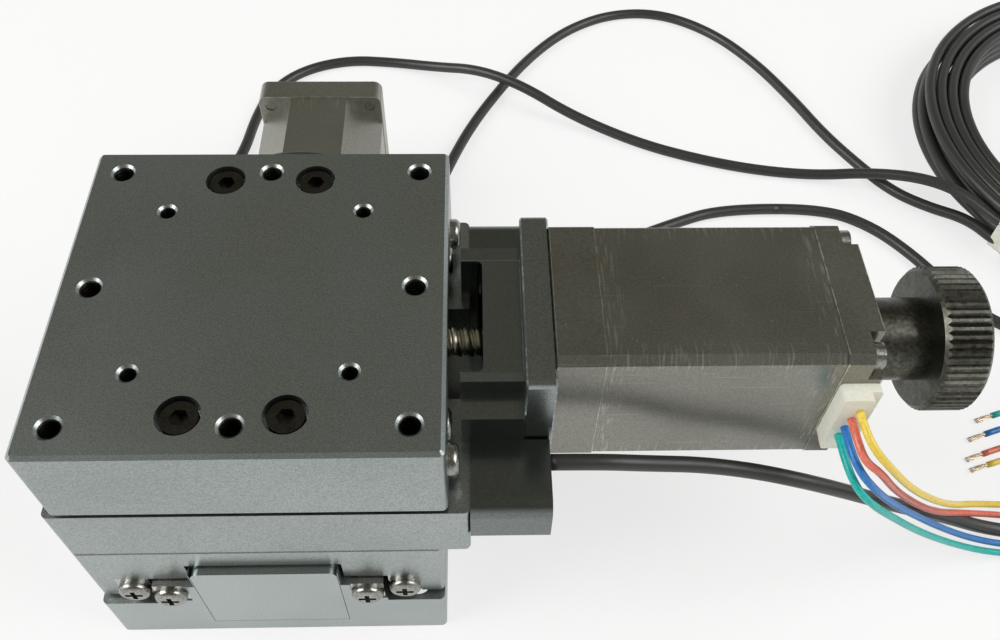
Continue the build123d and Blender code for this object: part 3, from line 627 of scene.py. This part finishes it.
# ---------------------------------------------------------------- materials
class Look:
    """A procedural material under construction: helpers over its node tree."""

    def __init__(self, name, roughness=0.5, metallic=0.0):
        self.material = bpy.data.materials.new(name)
        self.material.use_nodes = True
        self.nodes = self.material.node_tree.nodes
        self.links = self.material.node_tree.links
        self.shader = self.nodes["Principled BSDF"]
        self.shader.inputs["Roughness"].default_value = roughness
        self.shader.inputs["Metallic"].default_value = metallic
        self.place = self.nodes.new("ShaderNodeTexCoord").outputs["Object"]
        self.height = None

    def set(self, **values):
        """Constant sockets of the shader, by name with underscores for spaces."""
        for name, value in values.items():
            self.shader.inputs[name.replace("_", " ")].default_value = value
        return self

    def stretched(self, scale):
        """Object coordinates scaled by three factors."""
        mapping = self.nodes.new("ShaderNodeMapping")
        mapping.inputs["Scale"].default_value = scale
        self.links.new(self.place, mapping.inputs["Vector"])
        return mapping.outputs["Vector"]

    def noise(self, per_mm, detail=2.0, scale=(1, 1, 1)):
        """Noise with so many features per millimetre."""
        texture = self.nodes.new("ShaderNodeTexNoise")
        texture.inputs["Scale"].default_value = per_mm * 1000
        texture.inputs["Detail"].default_value = detail
        self.links.new(self.stretched(scale), texture.inputs["Vector"])
        return texture.outputs["Fac"]

    def math(self, operation, *values):
        """Math node; each value is a number or a socket."""
        node = self.nodes.new("ShaderNodeMath")
        node.operation = operation
        for socket, value in zip(node.inputs, values):
            if isinstance(value, (int, float)):
                socket.default_value = value
            else:
                self.links.new(value, socket)
        return node.outputs[0]

    def ramp(self, value, low, high, start=0.0, end=1.0):
        """Value mapped from low..high to start..end, held at both."""
        node = self.nodes.new("ShaderNodeMapRange")
        node.inputs["From Min"].default_value = low
        node.inputs["From Max"].default_value = high
        node.inputs["To Min"].default_value = start
        node.inputs["To Max"].default_value = end
        self.links.new(value, node.inputs["Value"])
        return node.outputs["Result"]

    def mix(self, factor, first, second):
        """Colour mixed by a factor; each colour is a tuple or a socket."""
        node = self.nodes.new("ShaderNodeMix")
        node.data_type = "RGBA"
        self.links.new(factor, node.inputs[0])
        for socket, value in ((node.inputs[6], first), (node.inputs[7], second)):
            if isinstance(value, tuple):
                socket.default_value = (*value, 1.0)
            else:
                self.links.new(value, socket)
        return node.outputs[2]

    def colour(self, value):
        """Base colour from a socket."""
        self.links.new(value, self.shader.inputs["Base Color"])
        return self

    def rough(self, value):
        """Roughness from a socket."""
        self.links.new(value, self.shader.inputs["Roughness"])
        return self

    def bump(self, value, depth_mm, strength=1.0):
        """Adds relief of that depth."""
        node = self.nodes.new("ShaderNodeBump")
        node.inputs["Strength"].default_value = strength
        node.inputs["Distance"].default_value = depth_mm * MM
        self.links.new(value, node.inputs["Height"])
        if self.height is not None:
            self.links.new(self.height, node.inputs["Normal"])
        self.height = node.outputs["Normal"]
        self.links.new(self.height, self.shader.inputs["Normal"])
        return self

    def edge_distance(self, box):
        """Distance from the nearest edge of a box, for a point on its faces."""
        split = self.nodes.new("ShaderNodeSeparateXYZ")
        self.links.new(self.place, split.inputs[0])
        near = []
        for index, (low, high) in enumerate(zip(*box)):
            socket = split.outputs[index]
            below = self.math("ABSOLUTE", self.math("SUBTRACT", socket, low))
            above = self.math("ABSOLUTE", self.math("SUBTRACT", high, socket))
            near.append(self.math("MINIMUM", below, above))
        least = self.math("MINIMUM", near[0], near[1])
        most = self.math("MAXIMUM", near[0], near[1])
        return self.math("MAXIMUM", least, self.math("MINIMUM", most, near[2]))

    def worn_highlit_edges(self, box, width_mm):
        """1 along the edges of a box, broken up by noise, and 0 on its faces: worn edges with a
        painted highlight on them.
        """
        ragged = self.noise(0.9, 4.0)
        reach = self.ramp(ragged, 0.3, 0.75, 0.0, width_mm * MM)
        return self.math("LESS_THAN", self.edge_distance(box), reach)


def shaded(tone, shade):
    """Tone made darker or lighter by a factor: painted light and shade."""
    return tuple(shade * part for part in tone)


def anodised(name, box, shade, edge, rough):
    """Black anodised aluminium, bead blasted: fine grain, slight cloudiness, worn edges that also
    carry a painted highlight; the shade factor scales the tones as painted light and shade.
    """
    # Grain and dust tones scaled by the part's shade factor: painted light and shade.
    dark = shaded((0.245, 0.270, 0.266), shade)
    light = shaded((0.415, 0.458, 0.450), shade)
    look = Look(name, 0.32, 1.0)
    grain = look.noise(4.6, 3.0)
    cloud = look.noise(0.035, 3.0)
    tone = look.mix(look.ramp(grain, 0.32, 0.68), dark, light)
    tone = look.mix(look.ramp(cloud, 0.35, 0.65, 0.0, 0.25), tone, dark)
    dust = look.ramp(look.noise(1.6, 5.0), 0.69, 0.75, 0.0, 0.5)
    tone = look.mix(dust, tone, shaded((0.46, 0.46, 0.44), shade))
    # Edge colour: worn bare metal, and a painted highlight along the edges.
    if edge:
        tone = look.mix(look.worn_highlit_edges(box, edge), tone, (0.62, 0.62, 0.60))
    look.colour(tone)
    look.rough(look.ramp(cloud, 0.3, 0.7, rough, rough + 0.09))
    look.bump(grain, 0.012, 0.5)
    return look.material


def motor_black(name, box, shade, edge, lines=0.0):
    """Black enamel of the motor, scratched and speckled, with worn edges that also carry a painted
    highlight; the shade factor scales the tones as painted light and shade.

    Lines is the scale of the stator's sheets, negative where they stack along Y.
    """
    look = Look(name, 0.34, 1.0)
    grain = look.noise(3.0, 3.0)
    cloud = look.noise(0.05, 3.0)
    # Enamel tones scaled by the part's shade factor: painted light and shade.
    deep = shaded((0.200, 0.198, 0.172), shade)
    tone = look.mix(look.ramp(grain, 0.3, 0.7), deep, shaded((0.300, 0.298, 0.266), shade))
    tone = look.mix(look.ramp(cloud, 0.35, 0.7, 0.0, 0.4), tone, deep)
    speck = look.ramp(look.noise(1.3, 6.0), 0.70, 0.74, 0.0, 0.8)
    tone = look.mix(speck, tone, (0.45, 0.44, 0.36))
    scratches = look.ramp(look.noise(0.5, 1.0, (0.12, 3.0, 3.0)), 0.68, 0.72)
    tone = look.mix(look.math("MULTIPLY", scratches, 0.35), tone, (0.40, 0.39, 0.33))
    # Edge colour: worn bare metal, and a painted highlight along the edges.
    if edge:
        tone = look.mix(look.worn_highlit_edges(box, edge), tone, (0.60, 0.59, 0.52))
    look.colour(tone)
    look.rough(look.ramp(cloud, 0.3, 0.7, 0.28, 0.42))
    look.bump(grain, 0.02, 0.4)
    if lines:
        ticks = look.ramp(look.noise(2.4, 1.0, (1, 0.1, 0.1)), 0.55, 0.7)
        close = look.ramp(look.edge_distance(box), 0.0012, 0.0045, 0.4, 0.0)
        look.colour(look.mix(look.math("MULTIPLY", ticks, close), tone, (0.62, 0.61, 0.52)))
        sheet = look.nodes.new("ShaderNodeTexWave")
        sheet.bands_direction = "Y" if lines < 0 else "X"
        sheet.inputs["Scale"].default_value = abs(lines)
        sheet.inputs["Distortion"].default_value = 0.6
        look.links.new(look.place, sheet.inputs["Vector"])
        look.bump(sheet.outputs["Fac"], 0.008, 0.3)
    return look.material


def ground_steel(name, scale):
    """Ground steel with the marks of the wheel along the travel."""
    look = Look(name, 0.25, 1.0)
    marks = look.noise(6.0, 3.0, scale)
    cloud = look.noise(0.15, 2.0)
    tone = look.mix(look.ramp(marks, 0.3, 0.7), (0.42, 0.42, 0.41), (0.62, 0.62, 0.60))
    look.colour(tone)
    look.rough(look.ramp(cloud, 0.3, 0.7, 0.2, 0.34))
    look.bump(marks, 0.006, 0.5)
    return look.material


def metal(name, low, high, roughness, per_mm=2.5, depth=0.01):
    """Turned or plated metal with uneven tone and small marks."""
    look = Look(name, roughness, 1.0)
    marks = look.noise(per_mm, 4.0)
    stain = look.noise(0.4, 3.0)
    tone = look.mix(look.ramp(marks, 0.3, 0.7), low, high)
    tone = look.mix(look.ramp(stain, 0.5, 0.75, 0.0, 0.6), tone, low)
    look.colour(tone)
    look.rough(look.ramp(stain, 0.3, 0.7, roughness - 0.07, roughness + 0.1))
    look.bump(marks, depth, 0.4)
    return look.material


def plastic(name, low, high, roughness, per_mm=2.0, depth=0.01, subsurface=0.0):
    """Moulded or drawn plastic with faint unevenness."""
    look = Look(name, roughness, 0.0)
    spots = look.noise(per_mm, 3.0)
    cloud = look.noise(0.12, 2.0)
    tone = look.mix(look.ramp(spots, 0.25, 0.75), low, high)
    tone = look.mix(look.ramp(cloud, 0.4, 0.7, 0.0, 0.4), tone, low)
    look.colour(tone)
    look.rough(look.ramp(cloud, 0.3, 0.7, roughness - 0.06, roughness + 0.08))
    look.bump(spots, depth, 0.35)
    if subsurface:
        look.set(Subsurface_Weight=subsurface, Subsurface_Scale=0.0008)
    return look.material


def dress(obj, material):
    """Gives every slot of an object one material."""
    if not obj.material_slots:
        obj.data.materials.append(material)
    for slot in obj.material_slots:
        slot.material = material


STEEL_X = ground_steel("ground_steel_x", (0.06, 1, 1))
STEEL_Y = ground_steel("ground_steel_y", (1, 0.06, 1))
PAN_STEEL = metal("zinc_screw", (0.20, 0.20, 0.18), (0.42, 0.42, 0.39), 0.24, 3.0)
OXIDE_STEEL = metal("black_oxide_screw", (0.035, 0.034, 0.030), (0.075, 0.072, 0.062), 0.33, 4.0)
# Drive screw steel: its own pale tone, lightened further as painted light to make up for the shade it
# sits in.
SCREW_METAL = metal("rolled_screw", (0.62, 0.57, 0.44), (0.92, 0.88, 0.74), 0.36, 5.0, 0.012)
BRONZE = metal("nut_bronze", (0.40, 0.24, 0.10), (0.58, 0.38, 0.18), 0.35)
BEARING_STEEL = metal("bearing_steel", (0.36, 0.36, 0.35), (0.55, 0.55, 0.54), 0.28)
MAGNET = metal("rotor_steel", (0.16, 0.16, 0.17), (0.26, 0.26, 0.27), 0.38)
CAGE_BRASS = metal("cage_brass", (0.46, 0.34, 0.14), (0.66, 0.52, 0.26), 0.3)
COPPER = metal("tinned_strand", (0.55, 0.40, 0.26), (0.86, 0.78, 0.66), 0.3, 6.0)
JACKET = plastic("cable_jacket", (0.020, 0.021, 0.019), (0.040, 0.041, 0.038), 0.38, 3.5, 0.02)
NYLON = plastic("white_nylon", (0.74, 0.73, 0.62), (0.86, 0.85, 0.76), 0.42, 1.5, 0.01, 0.15)
SOCKET_BLACK = plastic("black_nylon", (0.03, 0.03, 0.03), (0.05, 0.05, 0.05), 0.4)
LEAD_LOOKS = {
    "green": plastic("lead_green", (0.0, 0.34, 0.30), (0.02, 0.52, 0.47), 0.32, 2.0, 0.006),
    "blue": plastic("lead_blue", (0.01, 0.13, 0.42), (0.04, 0.24, 0.62), 0.32, 2.0, 0.006),
    "red": plastic("lead_red", (0.62, 0.10, 0.07), (0.84, 0.26, 0.17), 0.32, 2.0, 0.006),
    "yellow": plastic("lead_yellow", (0.72, 0.50, 0.05), (0.92, 0.72, 0.13), 0.32, 2.0, 0.006),
}

BLASTED = 0.28
SMOOTH = 0.20
# Per part: width in mm of the worn edges, which also carry a painted highlight, and roughness.
ANODISED = {
    "table": (0.0, BLASTED),
    "base": (0.0, BLASTED),
    "end_cover": (0.0, BLASTED),
    "motor_bracket": (0.12, SMOOTH),
    "motor_flange": (0.35, SMOOTH),
    "sensor_housing": (0.0, SMOOTH),
    "nut_block": (0.0, BLASTED),
}
# Per-part factors on the tones: painted light and shade, lighter and darker copies of the same
# anodising and enamel for how the light falls on each part.
PAINTED_LIGHT_FACTORS = {
    "upper_motor_bracket": 0.66,
    "upper_motor_flange": 0.9,
    "upper_sensor_housing": 0.5,
    "lower_base": 1.2,
    "lower_end_cover": 1.24,
    "lower_table": 1.12,
    "lower_motor_front_cap": 1.45,
    "lower_motor_stator": 1.3,
    "lower_motor_rear_cap": 1.4,
}
# Per motor part: width in mm of its worn edges, which also carry a painted highlight.
MOTOR_CASE = {"motor_front_cap": 0.14, "motor_stator": 0.0, "motor_rear_cap": 0.3}
PLAIN = {
    "table_end_screws": PAN_STEEL,
    "base_end_screws": PAN_STEEL,
    "table_rail_screws": OXIDE_STEEL,
    "base_rail_screws": OXIDE_STEEL,
    "roller_cages": CAGE_BRASS,
    "rollers": BEARING_STEEL,
    "bearings": BEARING_STEEL,
    "screw_nut": BRONZE,
    "motor_screws": PAN_STEEL,
    "motor_rotor": MAGNET,
    "lead_screw": SCREW_METAL,
}
SHEETS_SCALE = 628.0

for prefix, rail_steel in (("lower", STEEL_Y), ("upper", STEEL_X)):
    for piece, (edge, rough) in ANODISED.items():
        node = f"{prefix}_{piece}"
        look = anodised(f"anodised_{node}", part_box(node), PAINTED_LIGHT_FACTORS.get(node, 1.0), edge, rough)
        dress(NODES[node], look)
    for piece, edge in MOTOR_CASE.items():
        node = f"{prefix}_{piece}"
        lines = 0.0
        if piece == "motor_stator":
            lines = SHEETS_SCALE if prefix == "upper" else -SHEETS_SCALE
        look = motor_black(f"enamel_{node}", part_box(node), PAINTED_LIGHT_FACTORS.get(node, 1.0), edge, lines)
        dress(NODES[node], look)
    for piece, material in PLAIN.items():
        dress(NODES[f"{prefix}_{piece}"], material)
    for piece in ("table_rails", "base_rails"):
        dress(NODES[f"{prefix}_{piece}"], rail_steel)
dress(NODES["upper_motor_connector"], NYLON)
dress(NODES["lower_motor_connector"], SOCKET_BLACK)
dress(NODES["cable_tie"], NYLON)
dress(NODES["stacking_screws"], OXIDE_STEEL)
dress(
    NODES["hand_knob"],
    metal("knob_black", (0.05, 0.05, 0.04), (0.13, 0.13, 0.11), 0.33, 1.6, 0.02),
)
dress(lower_cable, JACKET)
dress(upper_far_cable, JACKET)
dress(upper_near_cable, JACKET)
dress(lower_screw, SCREW_METAL)
dress(upper_screw, SCREW_METAL)
dress(hole_threads, OXIDE_STEEL)
for colour in LEADS:
    dress(leads[colour], LEAD_LOOKS[colour])
    dress(strands[colour], COPPER)

# ---------------------------------------------------------------- what stands for what, and rides
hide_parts("lower_sensor_cable", "lower_cable_coil")
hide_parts("upper_cable_run", "upper_cable_coil")
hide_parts("upper_sensor_cable")
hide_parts("lower_lead_screw")
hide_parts("upper_lead_screw")
for colour in LEADS:
    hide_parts(f"{colour}_motor_lead")

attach(lower_cable, "base")
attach(upper_far_cable, "base")
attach(lower_screw, "lower_rotor")
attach(upper_screw, "upper_rotor")
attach(hole_threads, "top_table")
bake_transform(upper_near_cable)
for colour in LEADS:
    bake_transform(leads[colour])
    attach(strands[colour], "base")


# ---------------------------------------------------------------- floor, world and lamps
FLOOR_REACH = 3.0
FLOOR_CORNERS = [(-1, -1, 0), (1, -1, 0), (1, 1, 0), (-1, 1, 0)]
FLOOR_GLOW = 0.70
FLOOR_GLOSSY_GLOW = 0.45
HORIZON = (0.75, 0.77, 0.78)
OVERHEAD = (0.19, 0.18, 0.145)
SKY_FALL_START = 0.05
SKY_FALL_END = 0.55
LAMP_SIZE = 0.8
LAMP_AIM = Vector((0.05, 0.02, 0.03))
KEY_PLACE = (-0.90, -0.15, 0.75)
KEY_POWER = 11.0
FILL_PLACE = (0.90, -0.10, 0.75)
FILL_POWER = 8.5


def make_floor():
    """Pale floor that shows near white and keeps the object's shadow."""
    corners = [Vector(corner) * FLOOR_REACH for corner in FLOOR_CORNERS]
    floor = mesh_object("floor", corners, [(0, 1, 2, 3)], False)
    look = Look("floor_paper", 0.8, 0.0)
    tone = look.mix(look.noise(0.004, 3.0), (0.86, 0.87, 0.88), (0.88, 0.88, 0.88))
    look.colour(tone)
    path = look.nodes.new("ShaderNodeLightPath")
    mirrored = look.math(
        "MAXIMUM", path.outputs["Is Glossy Ray"], path.outputs["Is Transmission Ray"]
    )
    mirrored = look.math("MULTIPLY", mirrored, FLOOR_GLOSSY_GLOW)
    direct = look.math("MULTIPLY", path.outputs["Is Camera Ray"], FLOOR_GLOW)
    glow = look.nodes.new("ShaderNodeEmission")
    glow.inputs["Strength"].default_value = 1.0
    blend = look.nodes.new("ShaderNodeMixShader")
    look.links.new(look.math("MAXIMUM", mirrored, direct), blend.inputs[0])
    look.links.new(look.shader.outputs[0], blend.inputs[1])
    look.links.new(glow.outputs[0], blend.inputs[2])
    output = look.nodes["Material Output"]
    look.links.new(blend.outputs[0], output.inputs["Surface"])
    dress(floor, look.material)


def make_world():
    """Bright near the horizon, dimmer overhead, and white where the camera looks past the floor."""
    world = bpy.data.worlds.new("studio")
    bpy.context.scene.world = world
    world.use_nodes = True
    nodes = world.node_tree.nodes
    links = world.node_tree.links
    background = nodes["Background"]
    place = nodes.new("ShaderNodeTexCoord")
    split = nodes.new("ShaderNodeSeparateXYZ")
    links.new(place.outputs["Generated"], split.inputs[0])
    fall = nodes.new("ShaderNodeMapRange")
    fall.inputs["From Min"].default_value = SKY_FALL_START
    fall.inputs["From Max"].default_value = SKY_FALL_END
    links.new(split.outputs["Z"], fall.inputs["Value"])
    path = nodes.new("ShaderNodeLightPath")
    pick = nodes.new("ShaderNodeMix")
    pick.data_type = "RGBA"
    pick.inputs[7].default_value = (1, 1, 1, 1)
    links.new(path.outputs["Is Camera Ray"], pick.inputs[0])
    sky = nodes.new("ShaderNodeMix")
    sky.data_type = "RGBA"
    sky.inputs[6].default_value = (*HORIZON, 1)
    sky.inputs[7].default_value = (*OVERHEAD, 1)
    links.new(fall.outputs["Result"], sky.inputs[0])
    links.new(sky.outputs[2], pick.inputs[6])
    links.new(pick.outputs[2], background.inputs["Color"])


def make_lamp(name, place, power):
    """Square soft lamp aimed at the stage."""
    data = bpy.data.lights.new(name, "AREA")
    data.energy = power
    data.size = LAMP_SIZE
    lamp = link(name, data)
    lamp.location = place
    aim = LAMP_AIM - Vector(place)
    lamp.rotation_euler = aim.to_track_quat("-Z", "Y").to_euler()


make_floor()
make_world()
make_lamp("key", KEY_PLACE, KEY_POWER)
make_lamp("fill", FILL_PLACE, FILL_POWER)
bpy.context.scene.view_settings.view_transform = "Standard"
